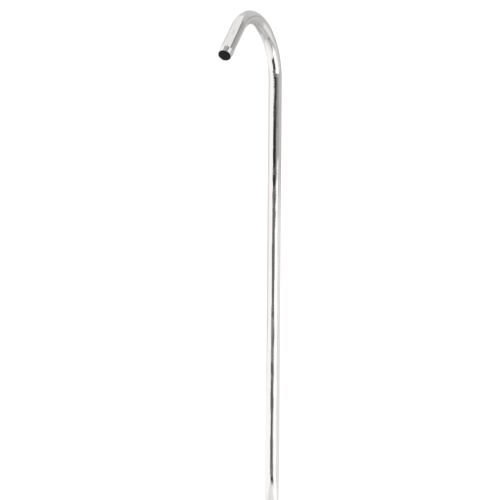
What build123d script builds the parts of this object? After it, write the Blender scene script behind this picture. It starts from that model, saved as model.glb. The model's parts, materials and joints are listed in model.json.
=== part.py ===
from build123d import *

import math
import os

# Tent stake: a bright-plated steel tube, bent over at the top into a hook, with a pressed
# driving point at the bottom and a black plastic plug in the open end of the hook.
# Millimetres. The shank stands along +Z, the tip of its point is the origin, and the hook
# bends over towards +X in the XZ plane.

# Tube stock
TUBE_RADIUS = 8.0
WALL = 1.0
BORE_RADIUS = TUBE_RADIUS - WALL

# Hook
TOTAL_HEIGHT = 600.0
BEND_RADIUS = 60.0
BEND_ANGLE = 138.6
LEG_LENGTH = 48.7
BEND_START = TOTAL_HEIGHT - TUBE_RADIUS - BEND_RADIUS

# Driving point: the wall is pressed together between jaws that close along X, and its two
# edges are sheared to a tip
POINT_HEIGHT = 76.0
FLAT_HEIGHT = 10.0
SHOULDER_HEIGHT = 56.0
TIP_HALF_THICKNESS = 1.2
TIP_HALF_WIDTH = 1.5
TIP_CAVITY_END = 24.0
POINT_SECTIONS = 15

# Mouth of the hook: the last stretch of the leg is rolled in around the plug, and its end
# has a rounded outer edge and a bevelled inner one
LIP_LENGTH = 7.0
LIP_OUTER_INSET = 0.5
LIP_INNER_INSET = 0.3
LIP_START_ROUND = 15.0
LIP_RUN_IN = 2.0
RIM_ROUND = 0.4
RIM_BEVEL = 0.3
LIP_RADIUS = TUBE_RADIUS - LIP_OUTER_INSET
LIP_BORE_RADIUS = BORE_RADIUS - LIP_INNER_INSET

# Plug: a head that fills the mouth, with two round grooves in its face, a hollow barrel
# behind it and three soft fins on the barrel
FIT_GAP = 0.05
HEAD_RECESS = 0.1
HEAD_DEPTH = 3.4
PLUG_LENGTH = 17.0
BARREL_RADIUS = 5.8
CORE_RADIUS = 4.4
FIN_RADIUS = BORE_RADIUS - FIT_GAP
FIN_COUNT = 3
FIN_PITCH = 2.8
FIN_WIDTH = 1.6
EDGE_GROOVE_RADIUS = 5.9
EDGE_GROOVE_HALF_WIDTH = 0.6
INNER_GROOVE_RADIUS = 2.6
INNER_GROOVE_HALF_WIDTH = 0.45


def eased(fraction):
    """Rises from 0 to 1 with level ends."""
    return fraction * fraction * (3 - 2 * fraction)


def point_half_thickness(height):
    """Half the thickness of the pressed point along X."""
    pressed = min(1.0, (POINT_HEIGHT - height) / (POINT_HEIGHT - FLAT_HEIGHT))
    return TUBE_RADIUS - (TUBE_RADIUS - TIP_HALF_THICKNESS) * eased(pressed)


def point_half_width(height):
    """Half the width of the point along Y: full down to the shoulder, then an ogive."""
    if height >= SHOULDER_HEIGHT:
        return TUBE_RADIUS
    reach = math.sin(math.pi / 2 * height / SHOULDER_HEIGHT)
    return TIP_HALF_WIDTH + (TUBE_RADIUS - TIP_HALF_WIDTH) * reach


def point_sections(low_end, inset):
    """Sections of the point from the shank down to low_end, each set in by inset."""
    sections = []
    for i in range(POINT_SECTIONS):
        height = POINT_HEIGHT + (low_end - POINT_HEIGHT) * i / (POINT_SECTIONS - 1)
        with BuildSketch(Plane((0, 0, height), x_dir=(0, 1, 0), z_dir=(0, 0, 1))) as section:
            Ellipse(point_half_width(height) - inset, point_half_thickness(height) - inset)
        sections.append(section.sketch)
    return sections


# Centre line of the tube, from the top of the point to the start of the rolled-in lip
with BuildLine(Plane.XZ) as centre_line:
    shank_line = Line((0, POINT_HEIGHT), (0, BEND_START))
    bend_line = JernArc(shank_line @ 1, shank_line % 1, BEND_RADIUS, -BEND_ANGLE)
    straight_leg = LEG_LENGTH - LIP_LENGTH - LIP_RUN_IN
    Line(bend_line @ 1, (bend_line @ 1) + (bend_line % 1) * straight_leg)

# The leg's own frame: local x runs away from its axis, local y out of the mouth, which is 0
leg_direction = centre_line.line % 1
mouth_centre = (centre_line.line @ 1) + leg_direction * (LIP_LENGTH + LIP_RUN_IN)
leg_plane = Plane(mouth_centre, x_dir=(0, 1, 0), z_dir=Vector(0, 1, 0).cross(leg_direction))
leg_axis = Axis(mouth_centre, leg_direction)

# hook_tube: one length of steel tube, open at the mouth of the hook and closed at the point
with BuildPart() as hook_tube:
    with BuildSketch(Plane.XY.offset(POINT_HEIGHT)):
        Circle(TUBE_RADIUS)
    sweep(path=centre_line.line)
    loft(point_sections(0, 0))
    with BuildSketch(leg_plane):
        with BuildLine():
            Polyline(
                (0, -LIP_LENGTH - LIP_RUN_IN),
                (TUBE_RADIUS, -LIP_LENGTH - LIP_RUN_IN),
                (TUBE_RADIUS, -LIP_LENGTH),
                (LIP_RADIUS, 0),
                (0, 0),
                close=True,
            )
        make_face()
        fillet(vertices().filter_by_position(Axis.Y, -LIP_LENGTH, -LIP_LENGTH), LIP_START_ROUND)
        fillet(vertices().group_by(Axis.Y)[-1].sort_by(Axis.X)[-1], RIM_ROUND)
    revolve(axis=leg_axis)
    with BuildSketch(Plane.XY.offset(POINT_HEIGHT)):
        Circle(BORE_RADIUS)
    sweep(path=centre_line.line, mode=Mode.SUBTRACT)
    loft(point_sections(TIP_CAVITY_END, WALL), mode=Mode.SUBTRACT)
    with BuildSketch(leg_plane):
        with BuildLine():
            Polyline(
                (0, -LIP_LENGTH - LIP_RUN_IN),
                (BORE_RADIUS, -LIP_LENGTH - LIP_RUN_IN),
                (BORE_RADIUS, -LIP_LENGTH),
                (LIP_BORE_RADIUS, -RIM_BEVEL),
                (LIP_BORE_RADIUS + RIM_BEVEL, 0),
                (0, 0),
                close=True,
            )
        make_face()
    revolve(axis=leg_axis, mode=Mode.SUBTRACT)

# mouth_plug: moulded in one piece, its head just inside the rim of the mouth
head_bevel_depth = RIM_BEVEL - HEAD_RECESS
head_inner_radius = LIP_BORE_RADIUS - FIT_GAP
head_slope = LIP_INNER_INSET / (LIP_LENGTH - RIM_BEVEL)
head_back_radius = head_inner_radius + head_slope * (HEAD_DEPTH - RIM_BEVEL)
with BuildPart() as mouth_plug:
    with BuildSketch(leg_plane):
        with BuildLine():
            Polyline(
                (0, -HEAD_RECESS),
                (head_inner_radius + head_bevel_depth, -HEAD_RECESS),
                (head_inner_radius, -RIM_BEVEL),
                (head_back_radius, -HEAD_DEPTH),
                (BARREL_RADIUS, -HEAD_DEPTH),
                (BARREL_RADIUS, -PLUG_LENGTH),
                (CORE_RADIUS, -PLUG_LENGTH),
                (CORE_RADIUS, -HEAD_DEPTH),
                (0, -HEAD_DEPTH),
                close=True,
            )
        make_face()
        for i in range(FIN_COUNT):
            fin_top = -PLUG_LENGTH + FIN_WIDTH + FIN_PITCH * i
            with BuildLine():
                Polyline(
                    (CORE_RADIUS, fin_top),
                    (FIN_RADIUS, fin_top),
                    (BARREL_RADIUS, fin_top - FIN_WIDTH),
                    (CORE_RADIUS, fin_top - FIN_WIDTH),
                    close=True,
                )
            make_face()
    revolve(axis=leg_axis)
    with BuildSketch(leg_plane):
        with Locations((EDGE_GROOVE_RADIUS, -HEAD_RECESS)):
            Circle(EDGE_GROOVE_HALF_WIDTH)
        with Locations((INNER_GROOVE_RADIUS, -HEAD_RECESS)):
            Circle(INNER_GROOVE_HALF_WIDTH)
    revolve(axis=leg_axis, mode=Mode.SUBTRACT)

hook_tube.part.label = "hook_tube"
mouth_plug.part.label = "mouth_plug"

os.makedirs("parts", exist_ok=True)
export_step(hook_tube.part, "parts/hook_tube.step")
export_step(mouth_plug.part, "parts/mouth_plug.step")
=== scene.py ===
"""Tent stake: a bright-plated hooked tube with a black plug in the mouth of its hook.

Both pieces are closed meshes of rings around the stake's centre line, with the CAD's sizes.
What the plating mirrors is a studio of soft-edged panels in the world shader, and four
cards that only reflections see.
"""

import json
import math

import bpy
from mathutils import Matrix, Vector


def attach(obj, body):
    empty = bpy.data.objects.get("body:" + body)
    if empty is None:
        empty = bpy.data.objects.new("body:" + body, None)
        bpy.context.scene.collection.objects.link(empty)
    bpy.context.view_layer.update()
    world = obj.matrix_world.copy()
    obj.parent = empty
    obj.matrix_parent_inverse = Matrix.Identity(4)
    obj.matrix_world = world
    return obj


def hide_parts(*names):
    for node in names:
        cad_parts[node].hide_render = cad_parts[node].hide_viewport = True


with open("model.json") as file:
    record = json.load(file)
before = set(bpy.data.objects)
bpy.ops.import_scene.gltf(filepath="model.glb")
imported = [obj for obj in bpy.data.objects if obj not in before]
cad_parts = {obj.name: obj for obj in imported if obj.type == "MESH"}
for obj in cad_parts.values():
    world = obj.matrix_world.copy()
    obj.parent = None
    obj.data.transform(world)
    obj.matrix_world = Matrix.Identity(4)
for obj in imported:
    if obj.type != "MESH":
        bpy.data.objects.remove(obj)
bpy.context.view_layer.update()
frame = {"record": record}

mounts = {mount["name"]: mount for mount in frame["record"]["mounts"]}

# ---------------------------------------------------------------- sizes, in metres

MM = 0.001
SHANK = mounts["shank"]
LEG = mounts["leg"]
TUBE_RADIUS = SHANK["dims"]["r_mm"] * MM
WALL = 1.0 * MM
BORE_RADIUS = TUBE_RADIUS - WALL

# The shank runs from the top of the point to the start of the bend, the leg from the end
# of the bend to the start of the rolled-in lip.
POINT_HEIGHT = SHANK["pos_m"][2] - SHANK["dims"]["length_mm"] * MM / 2
BEND_START = SHANK["pos_m"][2] + SHANK["dims"]["length_mm"] * MM / 2
LEG_DIRECTION = Vector(LEG["axis"]).normalized()
LEG_STRAIGHT = LEG["dims"]["length_mm"] * MM
LEG_START = Vector(LEG["pos_m"]) - LEG_DIRECTION * LEG_STRAIGHT / 2
BEND_ANGLE = math.acos(LEG_DIRECTION.z)
BEND_RADIUS = LEG_START.x / (1 - math.cos(BEND_ANGLE))

# Driving point
FLAT_HEIGHT = 10.0 * MM
SHOULDER_HEIGHT = 56.0 * MM
TIP_HALF_THICKNESS = 1.2 * MM
TIP_HALF_WIDTH = 1.5 * MM
TIP_ROUND = 0.5 * MM
TIP_CAVITY_END = 24.0 * MM

# Rolled-in lip and rim of the mouth. A narrow slope softens the edge between the rim and
# the bevel inside it.
LIP_LENGTH = 7.0 * MM
LIP_START_ROUND = 15.0 * MM
LIP_OUTER_INSET = 0.5 * MM
LIP_INNER_INSET = 0.3 * MM
LIP_RADIUS = TUBE_RADIUS - LIP_OUTER_INSET
LIP_BORE_RADIUS = BORE_RADIUS - LIP_INNER_INSET
RIM_ROUND = 0.4 * MM
RIM_BEVEL = 0.3 * MM
RIM_SLOPE_WIDTH = 0.08 * MM
RIM_SLOPE_DEPTH = 0.04 * MM

# Plug
FIT_GAP = 0.05 * MM
HEAD_RECESS = 0.1 * MM
HEAD_DEPTH = 3.4 * MM
HEAD_EDGE_ROUND = 0.12 * MM
HEAD_BACK_BEVEL = 0.2 * MM
PLUG_LENGTH = 17.0 * MM
BARREL_RADIUS = 5.8 * MM
CORE_RADIUS = 4.4 * MM
FIN_RADIUS = BORE_RADIUS - FIT_GAP
FIN_COUNT = 3
FIN_PITCH = 2.8 * MM
FIN_WIDTH = 1.6 * MM
EDGE_GROOVE_RADIUS = 5.9 * MM
EDGE_GROOVE_HALF_WIDTH = 0.6 * MM
INNER_GROOVE_RADIUS = 2.6 * MM
INNER_GROOVE_HALF_WIDTH = 0.45 * MM

# Mesh density: points in a ring, distances and angles between rings, steps in a rounded
# edge, where on the lip its rings are, and the small ring in the middle of a flat end
AROUND = 128
SHANK_STEP = 4.0 * MM
POINT_STEP = 1.0 * MM
CAVITY_STEP = 2.0 * MM
BEND_STEP = math.radians(1.5)
ROUND_STEPS = 5
LIP_RING_SHARES = (0.25, 0.5, 0.75, 0.95)
MIDDLE_RADIUS = 0.02 * MM

# A groove's cross-section, as angles of its half-round from the radius axis, and the width
# of the softened edge on either side of it
GROOVE_FROM = math.radians(170)
GROOVE_TO = math.radians(10)
GROOVE_STEP = math.radians(20)
SOFT_EDGE = 0.06 * MM

# Camera, placed and aimed so that the stake lines up with the one in the photograph
CAMERA_PLACE = Vector((1.36483, 0.59262, 0.25534))
CAMERA_AZIMUTH = math.radians(114.54)
CAMERA_ELEVATION = math.radians(-2.965)
CAMERA_ROLL = math.radians(0.488)
CAMERA_LENS = 92.1
SENSOR_WIDTH = 36.0
CAMERA_SIDE = math.atan2(CAMERA_PLACE.y, CAMERA_PLACE.x)

# ---------------------------------------------------------------- centre line

# Length of the bend, and distances along the centre line from the tip of the point
BEND_LENGTH = BEND_RADIUS * BEND_ANGLE
BEND_END = BEND_START + BEND_LENGTH
MOUTH_DISTANCE = BEND_END + LEG_STRAIGHT + LIP_LENGTH
LIP_DISTANCE = MOUTH_DISTANCE - LIP_LENGTH


def centre_line(distance):
    """Place and outward normal of the centre line at a distance from the tip."""
    if distance <= BEND_START:
        return Vector((0, 0, distance)), Vector((-1, 0, 0))
    turned = min((distance - BEND_START) / BEND_RADIUS, BEND_ANGLE)
    outward = Vector((-math.cos(turned), 0, math.sin(turned)))
    along = Vector((math.sin(turned), 0, math.cos(turned)))
    place = Vector((BEND_RADIUS, 0, BEND_START)) + outward * BEND_RADIUS
    beyond = max(0.0, distance - BEND_START - BEND_LENGTH)
    return place + along * beyond, outward


def eased(fraction):
    """Rises from 0 to 1 with level ends."""
    return fraction * fraction * (3 - 2 * fraction)


def point_size(height):
    """Half the pressed point's thickness along X and half its width along Y."""
    pressed = min(1.0, (POINT_HEIGHT - height) / (POINT_HEIGHT - FLAT_HEIGHT))
    thickness = TUBE_RADIUS - (TUBE_RADIUS - TIP_HALF_THICKNESS) * eased(pressed)
    reach = math.sin(math.pi / 2 * min(1.0, height / SHOULDER_HEIGHT))
    return thickness, TIP_HALF_WIDTH + (TUBE_RADIUS - TIP_HALF_WIDTH) * reach


def spread(start, end, step):
    """Evenly spaced values from start to end, no further apart than step."""
    count = max(1, math.ceil(abs(end - start) / step))
    return [start + (end - start) * i / count for i in range(count + 1)]


def arc(centre, radius, start, end):
    """Points (distance, radius) on an arc, its angles in degrees from the radius axis."""
    angles = spread(math.radians(start), math.radians(end), math.radians(90 / ROUND_STEPS))
    return [(centre[0] + radius * math.sin(a), centre[1] + radius * math.cos(a)) for a in angles]


# ---------------------------------------------------------------- meshes

def add_object(name, data):
    """A new object in the scene."""
    made = bpy.data.objects.new(name, data)
    bpy.context.scene.collection.objects.link(made)
    return made


def ring(distance, thickness, width):
    """Points of an oval around the centre line, and their places on a straightened tube."""
    place, outward = centre_line(distance)
    points, unrolled = [], []
    for i in range(AROUND):
        angle = 2 * math.pi * i / AROUND
        across, beside = math.cos(angle), math.sin(angle)
        points.append(place + outward * (across * thickness) + Vector((0, beside * width, 0)))
        unrolled.append(Vector((across * TUBE_RADIUS, beside * TUBE_RADIUS, distance)))
    return points, unrolled


def round_rings(outline):
    """Rings of a round outline, given as (distance, radius) pairs."""
    return [ring(distance, radius, radius) for distance, radius in outline]


def pipe(radius, start, end, step):
    """Rings of one radius, from the first one after start up to end."""
    return round_rings([(distance, radius) for distance in spread(start, end, step)[1:]])


def skin(name, rings):
    """A closed mesh through rings in order, its first and last ring closed by a fan."""
    points = [point for ring_points, _ in rings for point in ring_points]
    unrolled = [place for _, ring_unrolled in rings for place in ring_unrolled]
    around = [(i, (i + 1) % AROUND) for i in range(AROUND)]
    last = (len(rings) - 1) * AROUND
    faces = []
    for low in range(0, last, AROUND):
        high = low + AROUND
        faces += [(low + j, low + i, high + i, high + j) for i, j in around]
    last_edges = [(last + j, last + i) for i, j in around]
    for edges, (ring_points, ring_unrolled) in ((around, rings[0]), (last_edges, rings[-1])):
        faces += [(len(points), i, j) for i, j in edges]
        points.append(sum(ring_points, Vector()) / AROUND)
        unrolled.append(sum(ring_unrolled, Vector()) / AROUND)

    mesh = bpy.data.meshes.new(name)
    mesh.from_pydata(points, [], faces)
    mesh.polygons.foreach_set("use_smooth", [True] * len(faces))
    layer = mesh.attributes.new("unrolled", "FLOAT_VECTOR", "POINT")
    layer.data.foreach_set("vector", [value for place in unrolled for value in place])
    mesh.validate()
    return add_object(name, mesh)


# ---------------------------------------------------------------- hooked tube

def point_outside():
    """Rings of the point, from its rounded tip up to the shank."""
    thickness, width = point_size(TIP_ROUND)
    rings = []
    for lift in spread(0.0, math.pi / 2, math.pi / 2 / ROUND_STEPS):
        back = TIP_ROUND * (1 - math.cos(math.pi / 2 - lift))
        rings.append(ring(TIP_ROUND * (1 - math.cos(lift)), thickness - back, width - back))
    return rings + [ring(z, *point_size(z)) for z in spread(TIP_ROUND, POINT_HEIGHT, POINT_STEP)[1:]]


def leg_outside():
    """Rings of the leg, the rounded start of its lip, the lip's slope and the rim's round."""
    slope = math.atan(LIP_OUTER_INSET / LIP_LENGTH)
    round_start = LIP_DISTANCE - LIP_START_ROUND * math.tan(slope / 2)
    outline = []
    for i in range(1, ROUND_STEPS + 1):
        turn = slope * i / ROUND_STEPS
        radius = TUBE_RADIUS - LIP_START_ROUND * (1 - math.cos(turn))
        outline.append((round_start + LIP_START_ROUND * math.sin(turn), radius))
    outline += [
        (LIP_DISTANCE + (LIP_LENGTH - RIM_ROUND) * share, TUBE_RADIUS - LIP_OUTER_INSET * share)
        for share in LIP_RING_SHARES
    ]
    outline += arc((MOUTH_DISTANCE - RIM_ROUND, LIP_RADIUS - RIM_ROUND), RIM_ROUND, 0, 90)
    return pipe(TUBE_RADIUS, BEND_END, round_start, SHANK_STEP) + round_rings(outline)


def tube_inside():
    """Rings of the bore, from the rim of the mouth down to the end of the point's cavity."""
    rings = round_rings([
        (MOUTH_DISTANCE, LIP_BORE_RADIUS + RIM_BEVEL + RIM_SLOPE_WIDTH),
        (MOUTH_DISTANCE - RIM_SLOPE_DEPTH, LIP_BORE_RADIUS + RIM_BEVEL),
        (MOUTH_DISTANCE - RIM_BEVEL, LIP_BORE_RADIUS),
        (LIP_DISTANCE, BORE_RADIUS),
    ])
    rings += pipe(BORE_RADIUS, LIP_DISTANCE, BEND_END, SHANK_STEP)
    rings += pipe(BORE_RADIUS, BEND_END, BEND_START, BEND_RADIUS * BEND_STEP)
    rings += pipe(BORE_RADIUS, BEND_START, POINT_HEIGHT, SHANK_STEP)
    for z in spread(POINT_HEIGHT, TIP_CAVITY_END, CAVITY_STEP)[1:]:
        thickness, width = point_size(z)
        rings.append(ring(z, thickness - WALL, width - WALL))
    return rings


def build_tube():
    """The hooked tube: outside from tip to mouth, then inside from mouth to cavity end."""
    rings = point_outside()
    rings += pipe(TUBE_RADIUS, POINT_HEIGHT, BEND_START, SHANK_STEP)
    rings += pipe(TUBE_RADIUS, BEND_START, BEND_END, BEND_RADIUS * BEND_STEP)
    rings += leg_outside()
    rings += tube_inside()
    tube = skin("bright_tube", rings)
    tube.data.materials.append(bright_plated_steel())
    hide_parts("hook_tube")
    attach(tube, "root")


# ---------------------------------------------------------------- plug

def groove(face, radius, half_width):
    """Points (distance, radius) of a half-round groove in a face, from its inner edge out."""
    points = [(face, radius - half_width - SOFT_EDGE)]
    for angle in spread(GROOVE_FROM, GROOVE_TO, GROOVE_STEP):
        points.append((face - half_width * math.sin(angle), radius + half_width * math.cos(angle)))
    return points + [(face, radius + half_width + SOFT_EDGE)]


def build_plug():
    """The plug, turned about the leg's axis from its face to the back of its barrel."""
    face = MOUTH_DISTANCE - HEAD_RECESS
    head_back = MOUTH_DISTANCE - HEAD_DEPTH
    barrel_back = MOUTH_DISTANCE - PLUG_LENGTH
    head_radius = LIP_BORE_RADIUS - FIT_GAP
    edge_centre = head_radius + RIM_BEVEL - HEAD_RECESS - HEAD_EDGE_ROUND
    slope = LIP_INNER_INSET / (LIP_LENGTH - RIM_BEVEL)
    head_back_radius = head_radius + slope * (HEAD_DEPTH - RIM_BEVEL)

    outline = [(face, MIDDLE_RADIUS), (face, INNER_GROOVE_RADIUS / 2)]
    outline += groove(face, INNER_GROOVE_RADIUS, INNER_GROOVE_HALF_WIDTH)
    outline += groove(face, EDGE_GROOVE_RADIUS, EDGE_GROOVE_HALF_WIDTH)
    outline += arc((face - HEAD_EDGE_ROUND, edge_centre), HEAD_EDGE_ROUND, 90, 45)
    outline += [
        (MOUTH_DISTANCE - RIM_BEVEL, head_radius),
        (head_back + HEAD_BACK_BEVEL, head_back_radius),
        (head_back, head_back_radius - HEAD_BACK_BEVEL),
        (head_back, BARREL_RADIUS),
    ]
    for i in reversed(range(FIN_COUNT)):
        top = barrel_back + FIN_WIDTH + FIN_PITCH * i
        outline += [(top, BARREL_RADIUS), (top, FIN_RADIUS), (top - FIN_WIDTH, BARREL_RADIUS)]
    outline += [(barrel_back, CORE_RADIUS), (head_back, CORE_RADIUS), (head_back, MIDDLE_RADIUS)]

    plug = skin("black_plug", round_rings(outline[::-1]))
    plug.data.materials.append(black_plastic())
    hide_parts("mouth_plug")
    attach(plug, "root")


# ---------------------------------------------------------------- shader nodes

def feed(tree, made, inputs):
    """Gives a node's inputs, by name or number, a link or a plain value each."""
    for key, value in inputs.items():
        if isinstance(value, bpy.types.NodeSocket):
            tree.links.new(value, made.inputs[key])
        else:
            made.inputs[key].default_value = value


def node(tree, kind, inputs=None):
    """A new node with some of its inputs given."""
    made = tree.nodes.new(kind)
    feed(tree, made, inputs or {})
    return made


def maths(tree, operation, *values):
    """The result of a maths node, its values numbers or links."""
    made = node(tree, "ShaderNodeMath")
    made.operation = operation
    feed(tree, made, dict(enumerate(values)))
    return made.outputs[0]


def ramp(tree, value, start, end, low=0.0, high=1.0):
    """value mapped smoothly from start..end to low..high, and held beyond both."""
    limits = {"From Min": start, "From Max": end, "To Min": low, "To Max": high}
    made = node(tree, "ShaderNodeMapRange", {"Value": value, **limits})
    made.interpolation_type = "SMOOTHSTEP"
    return made.outputs["Result"]


def mix_value(tree, share, first, second):
    """first and second mixed by share, each a number or a link."""
    made = node(tree, "ShaderNodeMix", {"Factor": share, "A": first, "B": second})
    return made.outputs["Result"]


def mix_shaders(tree, output, share, first, second):
    """Ends a tree with an output node that shows two shaders mixed by share."""
    mixed = node(tree, "ShaderNodeMixShader", {0: share, 1: first, 2: second})
    node(tree, output, {"Surface": mixed.outputs["Shader"]})


def attribute(tree, name):
    """The outputs of a node that reads a mesh attribute."""
    made = node(tree, "ShaderNodeAttribute")
    made.attribute_name = name
    return made.outputs


def split(tree, vector):
    """The X, Y and Z of a vector."""
    return node(tree, "ShaderNodeSeparateXYZ", {0: vector}).outputs


def colour(tree, red, green, blue):
    """A colour of three channels, each a number or a link."""
    channels = {"Red": red, "Green": green, "Blue": blue}
    return node(tree, "ShaderNodeCombineColor", channels).outputs["Color"]


def noise(tree, vector, scale, detail, roughness):
    """A noise texture's value."""
    settings = {"Vector": vector, "Scale": scale, "Detail": detail, "Roughness": roughness}
    return node(tree, "ShaderNodeTexNoise", settings).outputs["Fac"]


def bump(tree, height, distance, strength=1.0, below=None):
    """A bumped normal, on top of the normal below if there is one."""
    settings = {"Height": height, "Distance": distance, "Strength": strength}
    if below is not None:
        settings["Normal"] = below
    return node(tree, "ShaderNodeBump", settings).outputs["Normal"]


def new_material(name):
    """A material with a plain Principled surface: the material, its tree, the shader."""
    material = bpy.data.materials.new(name)
    material.use_nodes = True
    return material, material.node_tree, material.node_tree.nodes["Principled BSDF"]


# ---------------------------------------------------------------- bright plating

# Share of the light that clean plating and a pit mirror, and the tint of both
PLATING_SHADE = 0.88
PIT_SHADE = 0.74
PLATING_TINT = (1.027, 0.999, 0.974)

# Patterns on the straightened tube: scale along it as a share of the scale across it, then
# the scale across it (per metre), detail and roughness of the noise
WAVES = (0.3, 120, 1.0, 0.5)
RIPPLES = (0.6, 620, 2.0, 0.6)
DRAWING_LINES = (0.02, 5200, 3.0, 0.5)
CLOUDS = (0.35, 260, 4.0, 0.6)
PITS = (0.6, 900, 2.0, 0.5)
SCUFFS = (0.05, 1500, 3.0, 0.7)

# Noise values between which a cloud, a pit or a scuff comes in, and the heights between
# which the scuffs die out
CLOUD_RANGE = (0.5, 0.72)
PIT_RANGE = (0.68, 0.76)
SCUFF_RANGE = (0.55, 0.75)
WEAR_RANGE = (0.02, 0.30)

# Roughness of clean plating, in a cloud and in a pit, and what a scuff adds to it
CLEAN_ROUGHNESS = 0.03
CLOUD_ROUGHNESS = 0.09
PIT_ROUGHNESS = 0.3
SCUFF_ROUGHNESS = 0.14

# Depths of the bumps. The grain is clouds and some of the lines, less some of the scuffs.
WAVE_DEPTH = 0.45 * MM
RIPPLE_DEPTH = 0.03 * MM
GRAIN_DEPTH = 0.02 * MM
GRAIN_STRENGTH = 0.25
LINES_IN_GRAIN = 0.35
SCUFF_IN_GRAIN = 0.5


def tube_pattern(tree, place, pattern):
    """The value of one of the plating's patterns at a place on the straightened tube."""
    along, scale, detail, roughness = pattern
    drawn_out = node(tree, "ShaderNodeMapping", {"Vector": place, "Scale": (1, 1, along)})
    return noise(tree, drawn_out.outputs["Vector"], scale, detail, roughness)


def bright_plated_steel():
    """Bright plating over drawn tube: waves, ripples, drawing lines, dull clouds, pits, wear."""
    material, tree, surface = new_material("bright_plated_steel")
    place = attribute(tree, "unrolled")["Vector"]
    clouds = tube_pattern(tree, place, CLOUDS)
    pit = ramp(tree, tube_pattern(tree, place, PITS), *PIT_RANGE)
    worn = ramp(tree, split(tree, place)["Z"], *WEAR_RANGE, 1.0, 0.0)
    scuff = ramp(tree, tube_pattern(tree, place, SCUFFS), *SCUFF_RANGE)
    scuff = maths(tree, "MULTIPLY", worn, scuff)

    roughness = mix_value(tree, ramp(tree, clouds, *CLOUD_RANGE), CLEAN_ROUGHNESS, CLOUD_ROUGHNESS)
    roughness = maths(tree, "ADD", roughness, maths(tree, "MULTIPLY", scuff, SCUFF_ROUGHNESS))
    roughness = mix_value(tree, pit, roughness, PIT_ROUGHNESS)
    shade = mix_value(tree, pit, PLATING_SHADE, PIT_SHADE)
    tinted = [maths(tree, "MULTIPLY", shade, tint) for tint in PLATING_TINT]

    lines = maths(tree, "MULTIPLY", tube_pattern(tree, place, DRAWING_LINES), LINES_IN_GRAIN)
    grain = maths(tree, "ADD", lines, clouds)
    grain = maths(tree, "SUBTRACT", grain, maths(tree, "MULTIPLY", scuff, SCUFF_IN_GRAIN))
    normal = bump(tree, tube_pattern(tree, place, WAVES), WAVE_DEPTH)
    normal = bump(tree, tube_pattern(tree, place, RIPPLES), RIPPLE_DEPTH, below=normal)
    normal = bump(tree, grain, GRAIN_DEPTH, GRAIN_STRENGTH, normal)

    feed(tree, surface, {
        "Metallic": 1.0,
        "Base Color": colour(tree, *tinted),
        "Roughness": roughness,
        "Normal": normal,
    })
    return material


# ---------------------------------------------------------------- black plastic

# Patterns in the plug's own space: scale (per metre), detail and roughness of the noise
SPARK_GRAIN = (4500, 2.0, 0.5)
FLOW_CLOUDS = (350, 3.0, 0.5)
SCRATCHES = (1600, 4.0, 0.7)
SCRATCH_RANGE = (0.62, 0.7)

# The flow clouds run between two shades, to which a scratch adds, and the grain runs
# between two roughnesses over a range of its noise
PLASTIC_SHADES = (0.004, 0.009)
SCRATCH_SHADE = 0.008
PLASTIC_SPECULAR = 0.22
PLASTIC_GRAIN_RANGE = (0.3, 0.7)
PLASTIC_ROUGHNESS = (0.4, 0.55)
PLASTIC_GRAIN_DEPTH = 0.03 * MM
PLASTIC_GRAIN_STRENGTH = 0.4


def black_plastic():
    """Moulded satin plastic: a fine spark grain, faint flow clouds and a few pale scratches."""
    material, tree, surface = new_material("black_plastic")
    place = node(tree, "ShaderNodeTexCoord").outputs["Object"]
    grain = noise(tree, place, *SPARK_GRAIN)
    scratch = ramp(tree, noise(tree, place, *SCRATCHES), *SCRATCH_RANGE)
    shade = mix_value(tree, noise(tree, place, *FLOW_CLOUDS), *PLASTIC_SHADES)
    shade = maths(tree, "ADD", shade, maths(tree, "MULTIPLY", scratch, SCRATCH_SHADE))
    feed(tree, surface, {
        "Specular IOR Level": PLASTIC_SPECULAR,
        "Base Color": colour(tree, shade, shade, shade),
        "Roughness": ramp(tree, grain, *PLASTIC_GRAIN_RANGE, *PLASTIC_ROUGHNESS),
        "Normal": bump(tree, grain, PLASTIC_GRAIN_DEPTH, PLASTIC_GRAIN_STRENGTH),
    })
    return material


# ---------------------------------------------------------------- studio

# Glow of the world to the camera and to matt surfaces. What the plating mirrors is brighter
# than its grey by 1 / PLATING_SHADE, so that its mirror image has the grey given here.
PLAIN_STRENGTH = 1.15

# Greys are sRGB values from 0 to 255. Where no panel is, the floor and walls are one grey
# and the ceiling another, with a soft change between two elevations (degrees).
WALL_GREY = 184
CEILING_GREY = 232
CEILING_CHANGE = (57, 67)

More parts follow.
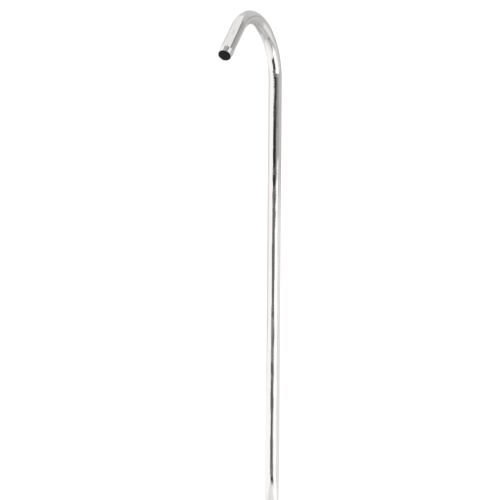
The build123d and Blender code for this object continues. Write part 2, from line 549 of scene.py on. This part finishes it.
# Panels, as the stake sees them: a name for the reader, azimuth from and to (degrees, 0
# towards the camera, + to its right), elevation from and to, softness of the edges (across,
# up) and grey. A later panel covers an earlier one.
PANELS = (
    ("under", (-130, 22), (-95, -74), (30, 10), 212),
    ("front_floor", (-118, 22), (-76, -40), (36, 10), 226),
    ("left_softbox_low", (-124, -30), (-58, -20), (18, 14), 244),
    ("left_softbox", (-142, -12), (-28, 30), (12, 10), 246),
    ("left_softbox_shade", (-150, -116), (-44, -13), (14, 8), 226),
    ("left_softbox_fade", (-158, -126), (-56, -27), (14, 12), 206),
    ("left_softbox_join", (-140, -99), (-2, 22), (12, 4), 211),
    ("back_screen", (150, 218), (-10, 30), (14, 6), 238),
    ("left_high", (-176, -96), (26, 95), (10, 6), 225),
    ("left_crease", (-149, -139), (33, 47), (5, 8), 200),
    ("lip_glint_low", (-151, -143), (26, 33), (3, 4), 242),
    ("lip_glint", (-139, -129), (33, 46), (4, 4), 242),
    ("lip_glint_high", (-126, -96), (46, 70), (4, 5), 244),
    ("high_back_far", (140, 196), (47, 66), (8, 6), 200),
    ("high_right", (60, 102), (51, 74), (6, 4), 228),
    ("right_wall", (93, 150), (10, 56), (5, 8), 184),
    ("right_wall_high", (127, 165), (24, 60), (8, 8), 193),
    ("right_wall_edge", (89, 104), (28, 50.5), (3, 6), 141),
    ("right_wall_low", (113, 134), (13.5, 23), (10, 4), 161),
    ("right_wall_fade", (103, 113), (20, 34), (6, 8), 160),
    ("right_grey", (74, 114), (6, 13), (8, 4), 188),
    ("right_edge", (118, 162), (7, 14), (12, 3), 190),
    ("right_window_high", (66, 87), (24, 50), (5, 5), 236),
    ("right_window", (66, 102), (14, 35), (4, 3), 236),
    ("under_back", (144, 205), (-52, -20), (14, 14), 171),
    ("far_right_wall", (144, 176), (-34, 6), (12, 8), 170),
    ("far_right_corner", (152, 174), (-40, -4), (10, 8), 156),
    ("right_shadow", (30, 96), (-84, -40), (26, 12), 184),
    ("right_shadow_core", (70, 92), (-74, -46), (12, 14), 150),
    ("right_shadow_neck", (30, 54), (-62, -50), (10, 8), 162),
    ("right_screen", (80, 124), (-44, -5), (10, 12), 220),
    ("right_screen_level", (70, 98), (-22, 5), (8, 6), 209),
    ("right_softbox", (14, 67), (-44, -5), (7, 2), 255),
    ("right_screen_join", (61, 81), (-46, -26), (8, 8), 172),
    ("upper_right_near", (10, 45), (-2, 24), (12, 3), 98),
    ("upper_right_glow", (24, 50), (4, 8.3), (12, 1.6), 172),
    ("upper_right_far", (42, 78), (5, 24), (14, 4), 164),
    ("upper_right_shade", (22, 47), (8.6, 24), (12, 1.4), 124),
    ("ceiling_gap", (-94, 67), (55, 83), (6, 5), 168),
    ("ceiling_gap_edge", (52, 71), (53, 66), (6, 5), 128),
    ("camera_gap", (-29, 7), (-37.5, -22), (8, 4), 66),
    ("camera_gap_middle", (-26, 14), (-23, -9), (8, 4), 62),
    ("camera_gap_low", (-35.5, 4.5), (-9, -1), (5, 4), 95),
    ("camera_gap_level", (-32, 10), (-1, 5.8), (8, 2), 102),
    ("camera_top", (-26, 17), (5.8, 9.7), (8, 1.6), 44),
    ("camera_top_high", (-9, 20), (9.5, 30), (8, 1.6), 38),
)

# Cards near enough for their place along the tube to matter: one beside the lower shank,
# two strips on the floor in front of the point, and one farther off to the right with a
# sloping top. Azimuths are the panels' own, and the strips run out along theirs, each
# from one side offset to another (+ to the right) and with its own grey. Each card has the
# steepest elevation (degrees) of the rays that see it, and the share of its height or
# length over which it fades at the end.
SIDE_CARD_GREY = 222
SIDE_CARD_AZIMUTH = 121
SIDE_CARD_DISTANCE = 0.10
SIDE_CARD_WIDTH = 0.26
SIDE_CARD_TOP = 0.45
SIDE_CARD_STEEPEST = 15
SIDE_CARD_FADE = 0.2

FLOOR_CARDS = (("floor_card_left", -0.13, 0.0, 222), ("floor_card_right", 0.0, 0.09, 250))
FLOOR_CARD_AZIMUTH = -6
FLOOR_CARD_LENGTH = 0.30
FLOOR_CARD_HEIGHT = 0.001
FLOOR_CARD_STEEPEST = 40
FLOOR_CARD_FADE = 0.5

FAR_CARD_GREY = 255
FAR_CARD_DISTANCE = 2.1
FAR_CARD_BOTTOM = -0.15
FAR_CARD_TOPS = ((15, 0.50), (25, 0.58), (43, 0.675), (67, 0.745))
FAR_CARD_STEEPEST = 30
FAR_CARD_FADE = 0.06

# A card starts to fade at this share of the sine of its steepest elevation
STEEP_FADE_START = 0.8

FLOOR_HALF_WIDTH = 6.0
FLOOR_SHADE = 0.93
FLOOR_ROUGHNESS = 0.9


def linear(grey):
    """The linear value of an sRGB grey from 0 to 255."""
    share = grey / 255
    return share / 12.92 if share <= 0.04045 else ((share + 0.055) / 1.055) ** 2.4


def panel_mask(tree, azimuth, elevation, azimuths, elevations, softness):
    """1 inside a panel and 0 outside it, with soft edges."""
    centre = (azimuths[0] + azimuths[1]) / 2
    half = (azimuths[1] - azimuths[0]) / 2
    across, upward = softness[0] / 2, softness[1] / 2
    turned = maths(tree, "WRAP", maths(tree, "SUBTRACT", azimuth, centre), 180, -180)
    beside = maths(tree, "ABSOLUTE", turned)
    mask = ramp(tree, beside, half - across, half + across, 1.0, 0.0)
    above = ramp(tree, elevation, elevations[0] - upward, elevations[0] + upward)
    below = ramp(tree, elevation, elevations[1] - upward, elevations[1] + upward, 1.0, 0.0)
    return maths(tree, "MULTIPLY", mask, maths(tree, "MULTIPLY", above, below))


def mirrored_grey(tree):
    """The grey of the studio in the direction that a mirrored ray comes from."""
    direction = node(tree, "ShaderNodeTexCoord").outputs["Generated"]
    turn = node(tree, "ShaderNodeMapping", {"Vector": direction, "Rotation": (0, 0, -CAMERA_SIDE)})
    part = split(tree, turn.outputs["Vector"])
    azimuth = maths(tree, "DEGREES", maths(tree, "ARCTAN2", part["Y"], part["X"]))
    elevation = maths(tree, "DEGREES", maths(tree, "ARCSINE", part["Z"]))
    grey = ramp(tree, elevation, *CEILING_CHANGE, linear(WALL_GREY), linear(CEILING_GREY))
    for _, azimuths, elevations, softness, tone in PANELS:
        mask = panel_mask(tree, azimuth, elevation, azimuths, elevations, softness)
        grey = mix_value(tree, mask, grey, linear(tone))
    return grey


def background(tree, tone, strength):
    """A background shader, its tone a colour or a link."""
    settings = {"Color": tone, "Strength": strength}
    return node(tree, "ShaderNodeBackground", settings).outputs["Background"]


def build_world():
    """White to the camera and to matt surfaces; panels for what the plating mirrors."""
    world = bpy.data.worlds.new("studio")
    world.use_nodes = True
    tree = world.node_tree
    tree.nodes.clear()
    plain = background(tree, (1, 1, 1, 1), PLAIN_STRENGTH)
    mirrored = background(tree, mirrored_grey(tree), 1 / PLATING_SHADE)
    glossy = node(tree, "ShaderNodeLightPath").outputs["Is Glossy Ray"]
    mix_shaders(tree, "ShaderNodeOutputWorld", glossy, plain, mirrored)
    bpy.context.scene.world = world


def build_floor():
    """A plain pale floor under the point, left out of the plating's mirror image."""
    mesh = bpy.data.meshes.new("floor")
    half = FLOOR_HALF_WIDTH
    corners = [(-half, -half, 0), (half, -half, 0), (half, half, 0), (-half, half, 0)]
    mesh.from_pydata(corners, [], [(0, 1, 2, 3)])
    floor = add_object("floor", mesh)
    floor.visible_glossy = False
    material, tree, surface = new_material("floor")
    feed(tree, surface, {
        "Base Color": (FLOOR_SHADE, FLOOR_SHADE, FLOOR_SHADE, 1),
        "Roughness": FLOOR_ROUGHNESS,
        "Specular IOR Level": 0.0,
    })
    mesh.materials.append(material)


def card_material(name, grey, steepest, fade):
    """A grey glow to rays no steeper than an elevation, clear to the rest and past its fade."""
    material = bpy.data.materials.new(name)
    material.use_nodes = True
    tree = material.node_tree
    tree.nodes.clear()
    incoming = node(tree, "ShaderNodeNewGeometry").outputs["Incoming"]
    steepness = maths(tree, "ABSOLUTE", split(tree, incoming)["Z"])
    limit = math.sin(math.radians(steepest))
    level = ramp(tree, steepness, limit * STEEP_FADE_START, limit, 1.0, 0.0)
    near = ramp(tree, attribute(tree, "reach")["Fac"], 1 - fade, 1.0, 1.0, 0.0)
    shown = maths(tree, "MULTIPLY", level, near)
    clear = node(tree, "ShaderNodeBsdfTransparent").outputs["BSDF"]
    glow = node(tree, "ShaderNodeEmission", {"Strength": linear(grey) / PLATING_SHADE})
    mix_shaders(tree, "ShaderNodeOutputMaterial", shown, clear, glow.outputs["Emission"])
    return material


def build_card(name, near_edge, far_edge, material):
    """A sheet between two edges of as many points each, seen only in the plating."""
    count = len(near_edge)
    faces = [(i, i + 1, count + i + 1, count + i) for i in range(count - 1)]
    mesh = bpy.data.meshes.new(name)
    mesh.from_pydata([*near_edge, *far_edge], [], faces)
    reach = mesh.attributes.new("reach", "FLOAT", "POINT")
    reach.data.foreach_set("value", [0.0] * count + [1.0] * count)
    mesh.materials.append(material)
    card = add_object(name, mesh)
    card.visible_camera = False
    card.visible_diffuse = False
    card.visible_shadow = False
    card.visible_transmission = False


def bearing(azimuth):
    """The level unit vector towards an azimuth, 0 being the camera's."""
    facing = CAMERA_SIDE + math.radians(azimuth)
    return Vector((math.cos(facing), math.sin(facing), 0))


def build_side_card():
    """The card that stands beside the lower shank."""
    foot = bearing(SIDE_CARD_AZIMUTH) * SIDE_CARD_DISTANCE
    half = bearing(SIDE_CARD_AZIMUTH + 90) * SIDE_CARD_WIDTH / 2
    near_edge = (foot - half, foot + half)
    far_edge = [corner + Vector((0, 0, SIDE_CARD_TOP)) for corner in near_edge]
    material = card_material("side_card", SIDE_CARD_GREY, SIDE_CARD_STEEPEST, SIDE_CARD_FADE)
    build_card("side_card", near_edge, far_edge, material)


def build_floor_cards():
    """The strips on the floor that run out from the point."""
    foot = Vector((0, 0, FLOOR_CARD_HEIGHT))
    beside = bearing(FLOOR_CARD_AZIMUTH + 90)
    out = bearing(FLOOR_CARD_AZIMUTH) * FLOOR_CARD_LENGTH
    for name, side_from, side_to, grey in FLOOR_CARDS:
        near_edge = (foot + beside * side_from, foot + beside * side_to)
        far_edge = (near_edge[0] + out, near_edge[1] + out)
        material = card_material(name, grey, FLOOR_CARD_STEEPEST, FLOOR_CARD_FADE)
        build_card(name, near_edge, far_edge, material)


def build_far_card():
    """The far card, bent round the stake, with its top given at some azimuths."""
    near_edge, far_edge = [], []
    for azimuth, top in FAR_CARD_TOPS:
        foot = bearing(azimuth) * FAR_CARD_DISTANCE
        near_edge.append(foot + Vector((0, 0, FAR_CARD_BOTTOM)))
        far_edge.append(foot + Vector((0, 0, top)))
    material = card_material("far_card", FAR_CARD_GREY, FAR_CARD_STEEPEST, FAR_CARD_FADE)
    build_card("far_card", near_edge, far_edge, material)


def build_camera():
    """The camera, with back, right and up vectors from its azimuth, elevation and roll."""
    back = Vector((
        math.sin(CAMERA_AZIMUTH) * math.cos(CAMERA_ELEVATION),
        -math.cos(CAMERA_AZIMUTH) * math.cos(CAMERA_ELEVATION),
        math.sin(CAMERA_ELEVATION),
    ))
    level = Vector((math.cos(CAMERA_AZIMUTH), math.sin(CAMERA_AZIMUTH), 0))
    over = back.cross(level)
    right = level * math.cos(CAMERA_ROLL) + over * math.sin(CAMERA_ROLL)
    up = over * math.cos(CAMERA_ROLL) - level * math.sin(CAMERA_ROLL)
    data = bpy.data.cameras.new("camera")
    data.lens = CAMERA_LENS
    data.sensor_width = SENSOR_WIDTH
    camera = add_object("camera", data)
    turn = Matrix((right, up, back)).transposed().to_4x4()
    camera.matrix_world = Matrix.Translation(CAMERA_PLACE) @ turn
    bpy.context.scene.camera = camera


# ---------------------------------------------------------------- assembly

build_tube()
build_plug()
build_world()
build_floor()
build_side_card()
build_floor_cards()
build_far_card()
build_camera()
bpy.context.scene.view_settings.view_transform = "Standard"
